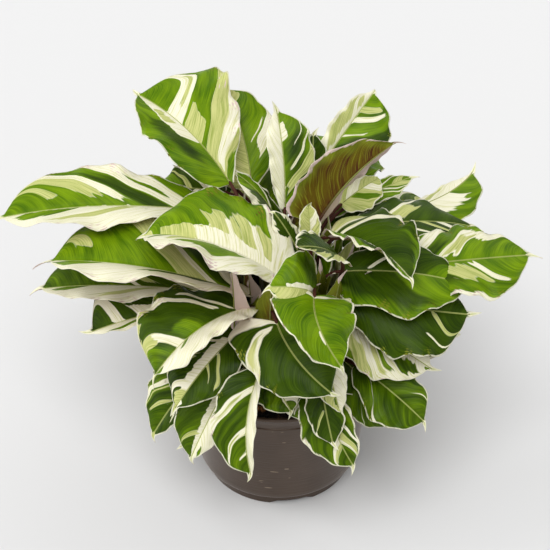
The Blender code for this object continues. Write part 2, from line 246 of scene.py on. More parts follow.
ridge = POT_HEIGHT - RIM_BAND
pot_profile = np.array((
    (PAD_RADIUS - WALL, WALL), (PAD_RADIUS, FLOOR_TOP), (FOOT_RADIUS - 2 * WALL, FLOOR_TOP),
    (FOOT_RADIUS - WALL, FOOT_HEIGHT + WALL), (WALL_FOOT_RADIUS - WALL, FOOT_HEIGHT + WALL),
    (RIM_RADIUS - 2 * WALL, ridge), (RIM_RADIUS - 2.2 * WALL, POT_HEIGHT - 5.0),
    (RIM_RADIUS - 2.8 * WALL, POT_HEIGHT - 4.5), (RIM_RADIUS - 2.8 * WALL, POT_HEIGHT - 3.0),
    (RIM_RADIUS - 2.0 * WALL, POT_HEIGHT - 2.5), (RIM_RADIUS - 1.6 * WALL, POT_HEIGHT - 0.7),
    (RIM_RADIUS - 1.35 * WALL, POT_HEIGHT - 0.2), (RIM_RADIUS - 1.2, POT_HEIGHT),
    (RIM_RADIUS - 0.4, POT_HEIGHT - 0.25), (RIM_RADIUS, POT_HEIGHT - 1.0), (RIM_RADIUS, POT_HEIGHT - 2.5),
    (RIM_RADIUS - 0.6, POT_HEIGHT - 3.2), (RIM_RADIUS - 1.0, ridge + 1.0), (RIM_RADIUS - 0.5, ridge + 0.5),
    (RIM_RADIUS - 0.4, ridge + 0.1), (RIM_RADIUS - 0.5, ridge - 0.3), (RIM_RADIUS - 1.2, ridge - 0.8),
    (WALL_FOOT_RADIUS, FOOT_HEIGHT + 1.0), (WALL_FOOT_RADIUS - 0.2, FOOT_HEIGHT + 0.4),
    (WALL_FOOT_RADIUS - 0.8, FOOT_HEIGHT), (FOOT_RADIUS + 0.8, FOOT_HEIGHT - 0.5), (FOOT_RADIUS, 0.0),
    (FOOT_RADIUS - WALL, 0.0), (FOOT_RADIUS - WALL, FLOOR_TOP - WALL), (PAD_RADIUS + WALL, FLOOR_TOP - WALL),
    (PAD_RADIUS, 0.0)))
# Straight stretches get more rings, so that the notches and the shading follow them.
rings = [pot_profile[:1]]
for start, end in zip(pot_profile, pot_profile[1:]):
    steps = max(1, int(np.linalg.norm(end - start) // RING_STEP))
    rings.append(start + (end - start) * (np.arange(1, steps + 1) / steps)[:, None])
rings = np.concatenate(rings)


def pot_surface(profile, azimuth):
    """Profile turned about Z; at each notch the foot's lower edge rises to a flat top with sloping ends."""
    radius, height, turn = np.broadcast_arrays(profile[:, :1], profile[:, 1:], azimuth[None, :])
    apart = np.min([np.abs((turn - math.radians(n) + math.pi) % (2 * math.pi) - math.pi)
                    for n in NOTCH_AZIMUTHS], axis=0) * FOOT_RADIUS
    lift = NOTCH_HEIGHT * np.clip((NOTCH_WIDTH / 2 - apart) / NOTCH_SLOPE + 0.5, 0, 1)
    on_foot = (radius > FOOT_RADIUS - 1.5 * WALL) & (height < NOTCH_HEIGHT)
    height = np.where(on_foot, np.maximum(height, lift), height)
    return np.stack((radius * np.cos(turn), radius * np.sin(turn), height), -1)


around = np.linspace(0, 2 * math.pi, POT_SIDES, endpoint=False)
pot_points = pot_surface(rings, around).reshape(-1, 3)
pot_quads = tube_quads(len(rings), POT_SIDES)[:, ::-1]
first_ring = np.arange(POT_SIDES)
pot_mesh = mesh_of("pot_shell", pot_points, pot_quads, (first_ring, len(pot_points) - 1 - first_ring))
pot_shell = bpy.data.objects.new("pot_shell", pot_mesh)
bpy.context.scene.collection.objects.link(pot_shell)


def round_cutter(name, centres, radius, low, high, sides=24):
    """Upright cylinders in one mesh."""
    turn = np.linspace(0, 2 * math.pi, sides, endpoint=False)
    circle = np.stack((np.cos(turn), np.sin(turn)), -1) * radius
    ring = np.arange(sides)
    points, quads, caps = [], [], []
    for number, centre in enumerate(centres):
        first = 2 * sides * number
        points += [np.column_stack((circle + centre, np.full(sides, level))) for level in (low, high)]
        quads.append(tube_quads(2, sides) + first)
        caps += [ring[::-1] + first, ring + first + sides]
    return mesh_of(name, np.concatenate(points), np.concatenate(quads), caps)


drain_turns = np.radians(DRAIN_START + 360.0 / DRAIN_HOLES * np.arange(DRAIN_HOLES))
drain_centres = DRAIN_CIRCLE * np.stack((np.cos(drain_turns), np.sin(drain_turns)), -1)
cutter = bpy.data.objects.new("drain_cutter", round_cutter("drain_cutter", drain_centres, DRAIN_RADIUS,
                                                            FLOOR_TOP - 2 * WALL, FLOOR_TOP + WALL))
bpy.context.scene.collection.objects.link(cutter)
drains = pot_shell.modifiers.new("drains", "BOOLEAN")
drains.operation = "DIFFERENCE"
drains.object = cutter
cut_mesh = bpy.data.meshes.new_from_object(pot_shell.evaluated_get(bpy.context.evaluated_depsgraph_get()))
bpy.data.objects.remove(pot_shell)
bpy.data.objects.remove(cutter)
cut_mesh.materials.clear()
cut_mesh.set_sharp_from_angle(angle=math.radians(SHARP_ANGLE))

plastic = Finish("taupe_plastic", 0.4)
for key, value in (("Coat Weight", 0.15), ("Coat Roughness", 0.2), ("Sheen Weight", 0.5),
                   ("Sheen Roughness", 0.3), ("Sheen Tint", (1.0, 0.9, 0.82, 1.0)),
                   ("Specular Tint", (1.0, 0.84, 0.7, 1.0))):
    plastic.surface[key].default_value = value
# Fine hatching of the drawn sheet, a faint mottle, and small marks where it is worn pale.
position = plastic.node("ShaderNodeTexCoord", output="Object")
hatch = plastic.noise(plastic.stretched(position, (60.0, 60.0, 900.0)), 1.0, 2.0)
mottle = plastic.noise(position, 45.0, 3.0)
scuffs = plastic.noise(plastic.stretched(position, (90.0, 90.0, 420.0)), 1.0, 1.0)
worn = scuffs.step(0.735, 0.775)
shade = plastic.mix(mottle.step(0.3, 0.7), (0.036, 0.020, 0.012), (0.047, 0.028, 0.018))
plastic.feed(plastic.surface["Base Color"], plastic.mix(worn * 0.55, shade, (0.33, 0.25, 0.17)))
plastic.feed(plastic.surface["Roughness"], 0.26 + 0.14 * hatch)
plastic.bump(hatch, 0.00025, 0.5)
add_piece("pot_shell", cut_mesh, plastic.material, "pot")

# ---- soil: dark damp potting mix, filled to a finger below the lip, its top rough with crumbs of peat.  Each
# size of bump on it has a cell, a seed and a share.
SOIL_TOP = 85.0
SOIL_SIDES = 192
SOIL_RINGS = 90
SOIL_RELIEF = 1.5
RELIEF_LEVEL = 0.75
SOIL_BUMPS = ((14.0, 1, 0.45), (5.0, 2, 0.3), (2.2, 3, 0.25))
SOIL_SUNK = 0.6
FIT_GAP = 0.3
LATTICE = 64
LATTICE_SHIFT = 200


def value_noise(x, y, cell, seed):
    """Smooth random field of two coordinates: seeded values on a lattice, blended by a cubic step."""
    lattice = np.random.default_rng(seed).random((LATTICE, LATTICE))
    x, y = np.asarray(x) / cell, np.asarray(y) / cell
    column, row = np.floor(x).astype(int), np.floor(y).astype(int)
    u, w = x - column, y - row
    u, w = u * u * (3 - 2 * u), w * w * (3 - 2 * w)
    row, next_row, column, next_column = (n % LATTICE for n in (row, row + 1, column, column + 1))
    near = lattice[row, column] * (1 - u) + lattice[row, next_column] * u
    far = lattice[next_row, column] * (1 - u) + lattice[next_row, next_column] * u
    return near * (1 - w) + far * w


wall_slope = (RIM_RADIUS - 2 * WALL - WALL_FOOT_RADIUS + WALL) / (ridge - FOOT_HEIGHT - WALL)
soil_low = FOOT_HEIGHT + WALL + FIT_GAP
edge_radius = WALL_FOOT_RADIUS - WALL + wall_slope * (SOIL_TOP - soil_low) - FIT_GAP
top_radii = edge_radius * np.linspace(0.004, 1.0, SOIL_RINGS)
soil_turn = np.linspace(0, 2 * math.pi, SOIL_SIDES, endpoint=False)
spread, turned = np.meshgrid(top_radii, soil_turn, indexing="ij")
soil_x, soil_y = spread * np.cos(turned), spread * np.sin(turned)
relief = sum(value_noise(soil_x + LATTICE_SHIFT, soil_y + LATTICE_SHIFT, cell, seed) * share
             for cell, seed, share in SOIL_BUMPS)
soil_top = np.stack((soil_x, soil_y, SOIL_TOP + SOIL_RELIEF * (relief - RELIEF_LEVEL) - SOIL_SUNK), -1)
skirt_radii = np.array((WALL_FOOT_RADIUS - WALL - FIT_GAP, FOOT_RADIUS - WALL - FIT_GAP - 0.2,
                        FOOT_RADIUS - 2 * WALL - FIT_GAP, 0.5))
skirt_heights = np.array((soil_low, soil_low, FLOOR_TOP + FIT_GAP, FLOOR_TOP + FIT_GAP))
soil_skirt = np.stack(np.broadcast_arrays(
    skirt_radii[:, None] * np.cos(soil_turn), skirt_radii[:, None] * np.sin(soil_turn),
    skirt_heights[:, None]), -1)
soil_points = np.concatenate((soil_top, soil_skirt)).reshape(-1, 3)
soil_ring = np.arange(SOIL_SIDES)
soil_mesh = mesh_of("soil_mix", soil_points,
                    tube_quads(len(top_radii) + len(skirt_radii), SOIL_SIDES)[:, ::-1],
                    (soil_ring, len(soil_points) - 1 - soil_ring))
mix = Finish("potting_mix", 0.92)
position = mix.node("ShaderNodeTexCoord", output="Object")
grain = mix.node("ShaderNodeTexVoronoi", {}, {"Vector": position, "Scale": 420.0})
lumps = mix.noise(position, 160.0, 4.0)
peat = mix.mix(lumps.step(0.35, 0.7), (0.006, 0.004, 0.003), (0.035, 0.021, 0.012))
mix.feed(mix.surface["Base Color"], mix.mix(lumps.step(0.66, 0.74) * 0.6, peat, (0.16, 0.085, 0.035)))
mix.bump(grain + lumps, 0.0012, 0.8)
add_piece("soil_mix", soil_mesh, mix.material, "soil")

# ---- bark: broken chips lying on the mix, orange-brown where they are fresh, with crumbs of peat and bark
# between them.  Each chip has its place, size and turn.
BARK_CHIPS = (
    ((46.0, -24.0), (10.0, 6.0, 2.5), 35.0),
    ((-14.0, -44.0), (9.0, 5.0, 2.2), -20.0),
    ((-46.0, 14.0), (11.0, 6.0, 2.8), 70.0),
    ((14.0, 47.0), (10.0, 5.0, 2.4), 10.0),
)
CRUMBS = 230
CHIP_GRID = (17, 28)
CHIP_SEED = 10
CRUMB_GRID = (5, 8)
CRUMB_SEED = 40
CRUMB_REACH = 60.0
CRUMB_SUNK = 0.7


def chunk(size, seed, rows, columns):
    """Lump with rounded corners: a superellipsoid of two angles, its radius roughened by noise."""
    polar = np.linspace(0.12, math.pi - 0.12, rows)[:, None]
    turn = np.linspace(0, 2 * math.pi, columns, endpoint=False)[None, :]

    def power(value, exponent):
        return np.sign(value) * np.abs(value) ** exponent

    rough = 0.82 + 0.3 * value_noise(polar * 3 + seed, np.abs(turn - math.pi) * 2.5 + seed, 1.0, seed)
    girth = power(np.sin(polar), 0.7)
    lump = np.stack(np.broadcast_arrays(girth * power(np.cos(turn), 0.6), girth * power(np.sin(turn), 0.6),
                                        power(np.cos(polar), 0.7)), -1)
    return lump * rough[..., None] * np.array(size) / 2


def placed(points, place, turn, lean):
    """Points leaned about X, turned about Z and moved to their place."""
    c, s = math.cos(lean), math.sin(lean)
    x, y, z = points[..., 0], c * points[..., 1] - s * points[..., 2], s * points[..., 1] + c * points[..., 2]
    c, s = math.cos(turn), math.sin(turn)
    return np.stack((c * x - s * y, s * x + c * y, z), -1) + place


def chunk_mesh(name, bodies):
    """Closed lumps, each a grid of rows and columns, in one mesh."""
    rows, columns = bodies[0].shape[:2]
    count = rows * columns
    ring = np.arange(columns)
    quads = np.concatenate([tube_quads(rows, columns)[:, ::-1] + count * n for n in range(len(bodies))])
    caps = [cap + count * n for n in range(len(bodies)) for cap in (ring, count - 1 - ring)]
    return mesh_of(name, np.concatenate(bodies).reshape(-1, 3), quads, caps)


bark = Finish("bark", 0.85)
position = bark.node("ShaderNodeTexCoord", output="Object")
fibre = bark.noise(bark.stretched(position, (900.0, 160.0, 500.0)), 1.0, 3.0)
bark.feed(bark.surface["Base Color"],
          bark.mix(fibre.step(0.35, 0.65), (0.11, 0.040, 0.012), (0.60, 0.26, 0.075)))
bark.bump(fibre, 0.0006, 0.8)
for number, (spot, size, turn) in enumerate(BARK_CHIPS, 1):
    body = placed(chunk(size, CHIP_SEED + number, *CHIP_GRID), (*spot, SOIL_TOP + FIT_GAP + size[2] / 2),
                  math.radians(turn), 0.0)
    add_piece(f"bark_{number}", chunk_mesh(f"bark_{number}", [body]), bark.material, f"bark_chip_{number}")

draw = np.random.default_rng(7)
for name, share, finish in (("peat_crumbs", 0.75, mix), ("bark_crumbs", 0.25, bark)):
    crumbs = []
    for number in range(int(CRUMBS * share)):
        reach, turn = CRUMB_REACH * math.sqrt(draw.random()), 2 * math.pi * draw.random()
        size = np.array((1.0, 0.7, 0.5)) * draw.uniform(1.6, 4.2)
        spot = (reach * math.cos(turn), reach * math.sin(turn), SOIL_TOP - CRUMB_SUNK + 0.2 * size[2])
        crumbs.append(placed(chunk(size, CRUMB_SEED + number, *CRUMB_GRID), spot,
                             2 * math.pi * draw.random(), draw.uniform(-0.5, 0.5)))
    add_piece(name, chunk_mesh(name, crumbs), finish.material)

# ---- leaves: each grew as one piece, a maroon stalk and a thin pointed blade folded along its midrib.  The
# blade is banded along its side veins in green, dark green, sage and cream, with a fine pale margin, and its
# underside is dull purple-brown.
THICKNESS = 0.5
# Radius of the stalk at shares of the way up it.
STALK_RADII = ((0.0, 3.0), (0.4, 2.6), (0.6, 1.7), (1.0, 1.2))
STALK_HANDLE = 0.35
STALK_SUNK = 2.0
STALK_ROWS = 22
STALK_SIDES = 12
MIDRIB_ROWS = 26
MIDRIB_START = 0.012
MIDRIB_END = 0.93
MIDRIB_SUNK = 0.25
VEIN_REACH = 1.3
VEIN_BEND = 1.2
VEIN_FADE = 1.5
BLADE_GRID = (72, 37)
BODY_END = 0.90
BASE_FULLNESS = 0.55
TIP_TAPER = 0.25
TAIL_HALF_WIDTH = 2.7
TAIL_TAPER = 0.8
TAIL_CURL = 5.0
MARGIN_THINNING = 0.7
QUILT_HEIGHT = 0.16
QUILT_SPACING = 4.5
GROOVE_DEPTH = 0.35
GROOVE_HALF_WIDTH = 1.1
LEAF_SHIFT = 0.37
HALF_SHIFT = 0.31
# Waves of the margin: share of the half's width, waves along the blade, and shifts by which halves differ.
MARGIN_WAVES = ((0.05, 2.7, 1), (0.03, 6.3, -1))
# Ripples of a blade 60 wide: height, power by which they grow outwards, waves along the blade, and shifts.
RIPPLES = ((2.7, 2, 1.7, 1), (2.4, 3, 3.4, -2), (1.5, 4, 7.3, 3))
RIPPLED_WIDTH = 60.0
FINE_MARGIN = 1.0
ALONG_SHARE = 0.35
MIDRIB_SHARE = 1.2
MIDRIB_BAND = 45
FIELD_LIMIT = 6.0
STREAK_SHIFT = 17.0
STALK_STREAKS = 60
STALK_MARGIN = 9.0
# Leaves whose tips hang below LOW_LEAF_HEIGHT start mostly dark green and higher ones mostly bright green:
# the leaves' own greens, with painted shade on the low leaves and painted light on the high ones.
LOW_LEAF_HEIGHT = 160
LOW_LEAF_PAINTED_SHADE = 0.6
HIGH_LEAF_PAINTED_LIGHT = -1.7

# One entry a leaf, as in the solids: azimuth and radius of its foot, the blade's base and tip, azimuth and
# elevation that its upper face looks in, bow, sweep, width, where it is widest, rise of the left and right
# halves, turn towards the margin, lobes at the base, and shares of the two halves.  Then come the patches of
# the left (L), right (R) or both (B) halves: cream (w), sage (s), green (g) or dark green (d), where the
# veins that bound them leave the midrib, and how far out along the veins they lie, in hundredths.  A span
# that is left out is 0-100.
Leaf = namedtuple("Leaf", "name foot base tip face bow sweep width widest rise turn lobe halves patches",
                  defaults=((0.4, 0.4), (1, 1), ""))
LEAVES = (
    # upright leaves at the top
    Leaf("leaf_top_1", (-135, 26), (-35, 42, 226), (-112, 122, 254), (-80, 55),
         6, -6, 104, (0.48, 0.72), (38, 5), 20, halves=(0.6, 1),
         patches="Rs 3-27, Rw 5-13 15-100, Rg 2-4 50-90, Rs 32-50 0-35, Rw 52-66, Rs 56-60 20-80, "
                 "Ld 8-50 30-64, Lw 32-100 0-34, Ls 50-68 12-30"),
    Leaf("leaf_top_2", (135, 24), (-20, 70, 204), (-42, 130, 256), (-80, 30),
         4, -3, 74, (0.55, 0.62), (10, 5), 25, halves=(1, 0.62),
         patches="Ls, Rg 36-76 45-100, Rs 76-92 0-70, Rw 10-26 50-100, Rw 30-33 20-70"),
    Leaf("leaf_top_3", (175, 9), (4, 26, 215), (-3, 70, 276), (-85, 25),
         4, -2, 40, 0.6, (20, 10), 25, halves=(0.42, 1),
         patches="Lw, Rw 62-80 0-22, Rd 8-60 12-80, Rs 10-20 20-100, Rw 28-32 20-100, Rw 46-49 40-100"),
    Leaf("leaf_top_4", (140, 9), (12, 36, 210), (24, 63, 259), (-60, 25),
         3, -3, 26, 0.55, (20, 20), 30,
         patches="Bd, Lw 0-60 40-100, Lw 60-75 0-60, Rw 40-46"),
    Leaf("leaf_top_5", (55, 20), (30, 60, 228), (72, 105, 267), (-80, 55),
         5, 0, 50, (0.5, 0.62), (35, 15), 25, halves=(0.4, 1.12),
         patches="Lw, Ls 8-52 22-84, Ld 0-7 0-60, Ls 62-76 20-70, Rd 6-34 12-100, Rw 34-38 0-45, "
                 "Rw 54-60 0-75, Rs 66-74 0-60"),
    Leaf("leaf_young_1", (25, 5), (26, 10, 214), (86, 40, 266), (110, -25),
         4, -4, 72, (0.36, 0.3), (70, 0), 30, halves=(0.4, 0.86),
         patches="Lw, Rs 0-100 92-100"),
    Leaf("leaf_young_2", (80, 7), (10, 31, 193), (15, 50, 235), (60, 0),
         3, 0, 26, 0.45, (60, 60), 20,
         patches="Lw 0-100 60-100, Rs, Ld 0-60 0-40"),
    Leaf("leaf_young_3", (20, 11), (22, 0, 205), (20, 10, 232), (-90, 20),
         2, 0, 11, 0.5, (30, 30), 20,
         patches="Bs, Rw 30-60"),
    # leaves to the right
    Leaf("leaf_right_1", (15, 18), (45, 49, 202), (76, 77, 207), (-90, 70),
         3, 0, 28, 0.5, (10, 10), 30, halves=(0.6, 1),
         patches="Bs, Lw 10-40, Rg 20-34 0-80, Rw 50-70"),
    Leaf("leaf_right_2", (35, 20), (50, 60, 192), (103, 98, 193), (-80, 75),
         3, 0, 26, 0.45, (10, 25), 30, halves=(0.55, 0.8),
         patches="Lw 0-18, Rw 30-35, Rw 46-50 10-100, Rs 58-80, Lw 42-47, Ls 64-80"),
    Leaf("leaf_right_3", (-35, 13), (35, 2, 208), (92, -58, 211), (-60, 80),
         10, 4, 88, (0.36, 0.52), (20, 60), 40, (0.6, 0.2), halves=(0.82, 0.45),
         patches="Ld, Lg 30-75 78-100, Lw 0-4.5, Ls 1-2.5, Lw 8-11.5, Rw 0-100 0-40, Rd 20-70 40-80, "
                 "Rw 0-100 84-100"),
    Leaf("leaf_right_4", (-60, 15), (40, -37, 221), (8, -77, 260), (-80, 75),
         4, 0, 28, 0.4, (20, 20), 30,
         patches="Bd, Bw 0-100 82-100, Ls 0-100 60-82"),
    Leaf("leaf_right_5", (5, 24), (70, 60, 185), (154, 134, 176), (-100, 60),
         4, -12, 50, 0.62, (-30, 20), 30, halves=(0.55, 0.9),
         patches="Lw, Ls 26-40 20-80, Rw 16-60 0-58, Rs 20-30 10-40, Rg 64-100"),
    # The sage patch Ls 20-34 on its dark left half is a painted sheen.
    Leaf("leaf_right_6", (-15, 20), (55, 30, 195), (150, 60, 172), (-90, 75),
         8, 0, 56, 0.55, (0, 30), 35,
         patches="Bd, Ls 20-34 10-55, Lw 17-19 30-100, Rw 10-16 25-100, Rw 26-31 15-100, Rs 46-52 0-80, "
                 "Rw 60-66, Rg 78-100"),
    Leaf("leaf_right_7", (-75, 22), (84, -5, 187), (186, 12, 185), (-85, 70),
         8, -4, 72, 0.55, (0, 15), 35, halves=(1, 0.82),
         patches="Lw 3-9, Lw 22-38 14-80, Ls 26-36 20-60, Lw 36-54 50-100, Rs 18-40 12-55, "
                 "Rw 44-50 10-70, Rw 0-22 90-100, Ld 0-3 0-60, Bd 9-20 0-60"),
    # Rg 50-100 60-100, bright green at the outer edge of its right half, is partly its own green and partly
    # painted light on the lit margin.
    Leaf("leaf_right_8", (-20, 24), (45, -10, 187), (138, -12, 174), (-85, 65),
         18, -4, 76, 0.45, (10, 20), 35, halves=(0.6, 0.82),
         patches="Rd 0-36 0-80, Ld 0-60, Lw 14-18 10-100, Rg 50-100 60-100"),
    Leaf("leaf_right_9", (20, 33), (50, -27, 176), (140, -27, 161), (-85, 55),
         10, -4, 70, 0.55, (10, 10), 35, halves=(1, 0.95),
         patches="Bd, Rw 40-43 46-100, Rs 60-64, Lw 62-64 20-100"),
    Leaf("leaf_right_10", (40, 35), (55, -10, 148), (135, -10, 128), (-85, 50),
         8, -4, 54, 0.55, (10, 10), 35, halves=(1, 0.85),
         patches="Bd, Bw 0-100 92-100, Rw 44-48 30-100"),
    Leaf("leaf_right_11", (-25, 31), (45, -26, 154), (112, -48, 125), (-80, 55),
         8, 0, 50, 0.5, (15, 15), 35, halves=(0.8, 1),
         patches="Bw, Rs 5-14 40-100, Rg 0-6 60-100, Rg 30-36 20-70, Rd 45-75 20-70, Rs 22-28 20-80, "
                 "Ls 6-12 10-60, Lg 16-24 10-60, Ld 34-50 30-100, Lg 60-70 10-80, Rg 84-92 20-60"),
    # leaves at the front
    Leaf("leaf_front_1", (-175, 13), (23, -69, 213), (44, -122, 190), (-100, 78),
         12, -8, 84, (0.42, 0.17), (-8, 20), 30, (1.3, 1.2), halves=(0.68, 0.6),
         patches="Rw 0-2, Lw 1.2-2.6 0-92, Rw 50-66 0-10, Bw 0-100 94-100"),
    Leaf("leaf_front_2", (-95, 20), (-2, -58, 181), (40, -108, 156), (-110, 60),
         8, -6, 90, (0.35, 0.27), (10, 5), 35, (0.6, 1.0), halves=(0.85, 0.7),
         patches="Bd, Rw 5-10 16-100, Rs 6-8 30-90, Rw 0-2"),
    Leaf("leaf_front_3", (-115, 26), (-20, -22, 164), (-90, -80, 142), (-110, 65),
         14, -4, 88, (0.55, 0.6), (60, 15), 35, (0.3, 0.6), halves=(0.75, 0.92),
         patches="Rd 0-58, Rw 12-15 10-75, Rw 18-22 25-100, Rg 40-58 0-30, Rs 60-74 42-100, "
                 "Rw 60-67 0-52, Rs 24-70 92-100, Lw, Lg 56-60 0-36, Lg 80-92 28-100"),
    Leaf("leaf_front_4", (-170, 29), (-30, -40, 155), (-75, -85, 120), (-110, 50),
         8, 0, 56, 0.45, (12, 12), 35, halves=(0.68, 1),
         patches="Bd, Rw 8-100 0-22, Rs 28-36 30-100, Rw 62-70, Rs 74-100 0-60, Ls 24-28 10-70, "
                 "Ls 40-43 0-50, Lw 84-100 0-40, Rw 12-16 20-100"),
    # low leaves hanging over the rim
    Leaf("leaf_low_1", (-10, 31), (55, -40, 125), (106, -75, 98), (-70, 50),
         6, 0, 54, (0.6, 0.62), (30, 25), 35, halves=(0.62, 0.86),
         patches="Lw 48-51 0-95, Rw 15-17 12-100, Rd 0-12 0-70, Rs 62-64 10-60"),
    Leaf("leaf_low_2", (-15, 37), (50, -46, 117), (80, -66, 87), (-90, 30),
         6, 0, 44, 0.5, (10, 10), 35, halves=(1, 0.6),
         patches="Rw 30-32 10-100, Lw 40-42"),
    Leaf("leaf_low_3", (155, 33), (-45, -20, 120), (-95, -54, 63), (-120, 35),
         8, 0, 50, 0.45, (20, 20), 35, halves=(0.5, 1),
         patches="Rw 24-33, Rs 34-38 30-100, Rw 9-12 0-70, Ld, Rs 54-60 10-80, Lw 50-56 0-60, Bs 88-100"),
    Leaf("leaf_low_4", (-145, 31), (-30, -50, 130), (-65, -85, 70), (-110, 30),
         8, 0, 48, 0.5, (20, 20), 35, halves=(0.45, 1),
         patches="Lw, Rw 20-100 0-16, Rs 60-66 10-80, Rd 0-24 10-100, Lg 70-80 40-100"),
    Leaf("leaf_low_5", (180, 33), (-40, -43, 121), (-70, -72, 73), (-110, 25),
         6, 0, 34, 0.5, (20, 20), 35, halves=(0.7, 0.8),
         patches="Lw 0-100 62-100, Rd 0-20, Rw 40-43 0-80"),
    Leaf("leaf_low_6", (-160, 31), (-14, -72, 147), (-18, -114, 83), (-100, 25),
         6, -6, 52, 0.52, (60, 25), 30, halves=(0.3, 0.86),
         patches="Rd 0-9, Rw 10-18, Rs 12-15 30-90, Rw 48-55 0-92, Rs 50-53 20-70, Rw 70-74 0-40, Lw"),
    Leaf("leaf_low_7", (-115, 31), (-10, -50, 135), (10, -85, 118), (-90, 40),
         4, 0, 44, 0.5, (15, 15), 35, halves=(0.9, 0.72),
         patches="Rw 30-100 0-9, Lw 58-72 0-80, Rd 0-40 40-90, Rw 0-4"),
    Leaf("leaf_low_8", (-95, 31), (8, -50, 128), (20, -80, 104), (-90, 40),
         4, 0, 30, 0.45, (15, 15), 35, halves=(0.8, 0.8),
         patches="Rw 14-19, Rw 56-62 0-70, Lw 10-18, Ls 40-60 10-90"),
    Leaf("leaf_low_9", (-60, 31), (28, -60, 130), (55, -98, 77), (-80, 25),
         6, -4, 52, 0.5, (50, 15), 35, halves=(0.55, 0.78),
         patches="Rw 60-66, Rs 66-72 0-80, Lw 28-34, Bw 0-100 93-100, Ls 46-60 10-90, Lw 62-66"),
    Leaf("leaf_low_10", (-70, 29), (28, -70, 140), (38, -96, 98), (-95, 30),
         5, 0, 36, 0.5, (20, 20), 35, halves=(0.55, 0.62),
         patches="Bd, Rs 40-44 25-60, Bw 0-100 94-100"),
    Leaf("leaf_low_11", (-45, 31), (30, -60, 160), (42, -92, 126), (-90, 35),
         4, 0, 26, 0.5, (15, 15), 35, halves=(0.6, 0.8),
         patches="Rs 0-100 15-90, Rd 20-44 0-30, Lw, Bw 0-100 92-100"),
    # leaves to the left
    Leaf("leaf_left_1", (-150, 7), (0, -28, 196), (-103, -2, 211), (-90, 80),
         16, 0, 100, (0.5, 0.56), (55, 18), 35, (0.1, 0.9),
         patches="Rs 5-24 0-58, Rs 24-46 0-48, Rs 46-80 0-24, Rw 5-56 0-22, Rw 11-15 0-56, Rw 30-34 0-44, "
                 "Rs 86-96 0-50, Rw 0-6, Lw, Lg 14-34 34-78, Ls 40-56 0-60, Lg 62-70 10-80"),
    Leaf("leaf_left_2", (-120, 14), (-20, -14, 168), (-175, -2, 189), (-90, 75),
         20, 4, 92, (0.66, 0.74), (56, 12), 30, (0.4, 1.8), halves=(0.85, 1.05),
         patches="Rs 15-34, Rw 15-20 0-70, Rd 5-13 10-100, Rw 0-5, Rs 70-78 30-80, Lw, Lg 62-78 16-80, "
                 "Ld 10-34 8-50, Lg 84-92 40-100"),
    Leaf("leaf_left_3", (170, 20), (-40, 40, 200), (-214, 30, 200), (-90, 75),
         14, 0, 74, 0.66, (42, 15), 30, halves=(0.8, 1),
         patches="Rw 6-20, Rg 11-14 36-80, Rd 21-33 0-72, Rw 34-41 16-100, Rs 41-54 24-100, "
                 "Rs 62-68 30-90, Lw, Lg 56-80 8-62, Ls 30-40 10-80"),
    Leaf("leaf_left_4", (150, 20), (-40, 60, 205), (-98, 75, 192), (-90, 75),
         6, 0, 44, 0.6, (15, 10), 35,
         patches="Bd, Rw 18-24, Rs 38-44 0-80, Lw 28-35, Lw 55-60, Rg 50-80"),
    Leaf("leaf_left_5", (130, 20), (-35, 76, 198), (-78, 100, 198), (-90, 70),
         4, 0, 34, 0.5, (15, 5), 35,
         patches="Bd 0-60, Rw 28-33, Lw 14-20, Ls 44-52 0-80, Rs 60-66"),
    Leaf("leaf_left_6", (125, 13), (2, 38, 184), (-35, 55, 228), (-60, 45),
         5, -4, 48, 0.5, (60, 10), 30, halves=(1, 0.15),
         patches="Ld 0-60 0-62, Lw 0-60 66-100, Rd 0-30, Rw 30-36 10-100"),
    Leaf("leaf_left_7", (-90, 7), (15, 2, 190), (-6, 14, 224), (-60, 45),
         4, 0, 30, 0.5, (20, 20), 30, halves=(0.5, 0.3),
         patches="Bd, Bw 0-100 70-100"),
    Leaf("leaf_left_8", (-160, 22), (-40, 2, 156), (-186, 21, 144), (-90, 70),
         10, 0, 68, (0.62, 0.78), (56, 15), 30, halves=(0.85, 1),
         patches="Rs 26-34 20-90, Rs 54-60 20-70, Rw 4-12, Rw 40-43 0-60, Lw, Lg 62-76 10-62, "
                 "Ls 20-30 20-80"),
    Leaf("leaf_left_9", (145, 31), (-30, 10, 140), (-146, -7, 123), (-95, 65),
         14, 0, 74, (0.6, 0.84), (45, 12), 30, halves=(0.28, 1.0),
         patches="Bd, Rw 6-60 0-30, Rw 70-78, Lw, Lg 42-56 24-100, Rs 56-62 40-100"),
    Leaf("leaf_left_10", (-55, 24), (24, -55, 202), (-12, -66, 218), (-80, 50),
         14, 0, 50, 0.45, (15, 15), 35, halves=(0.8, 1),
         patches="Ls 0-100 0-65, Lw 0-100 65-100, Rw 0-70 0-12, Rd 0-30 20-70"),
    # leaves at the back
    Leaf("leaf_back_1", (75, 20), (20, 62, 181), (60, 177, 176), (60, 80),
         14, 0, 76, 0.5, (18, 18), 35,
         patches="Lw 6-20 0-70, Ls 20-30, Rw 36-48, Rs 48-56 0-80, Lw 60-66, Rd 0-30 0-80, Rw 76-82 0-60"),
    Leaf("leaf_back_2", (95, 18), (-15, 67, 171), (-45, 158, 180), (110, 80),
         14, 0, 78, 0.5, (18, 18), 35,
         patches="Bw 0-100 0-26, Ls 12-24, Rd 10-50 26-70, Lw 44-54, Rw 60-70 0-90, Rs 70-76 0-60"),
    Leaf("leaf_back_3", (75, 31), (50, 45, 165), (125, 120, 150), (40, 75),
         12, 0, 72, 0.5, (18, 18), 35,
         patches="Rw 10-22, Rs 22-30 10-90, Ld 0-40 20-70, Lw 48-58 0-90, Rw 58-62, Ls 74-82 0-80"),
    Leaf("leaf_back_4", (110, 31), (-50, 45, 165), (-130, 120, 150), (140, 75),
         12, 0, 74, 0.5, (18, 18), 35,
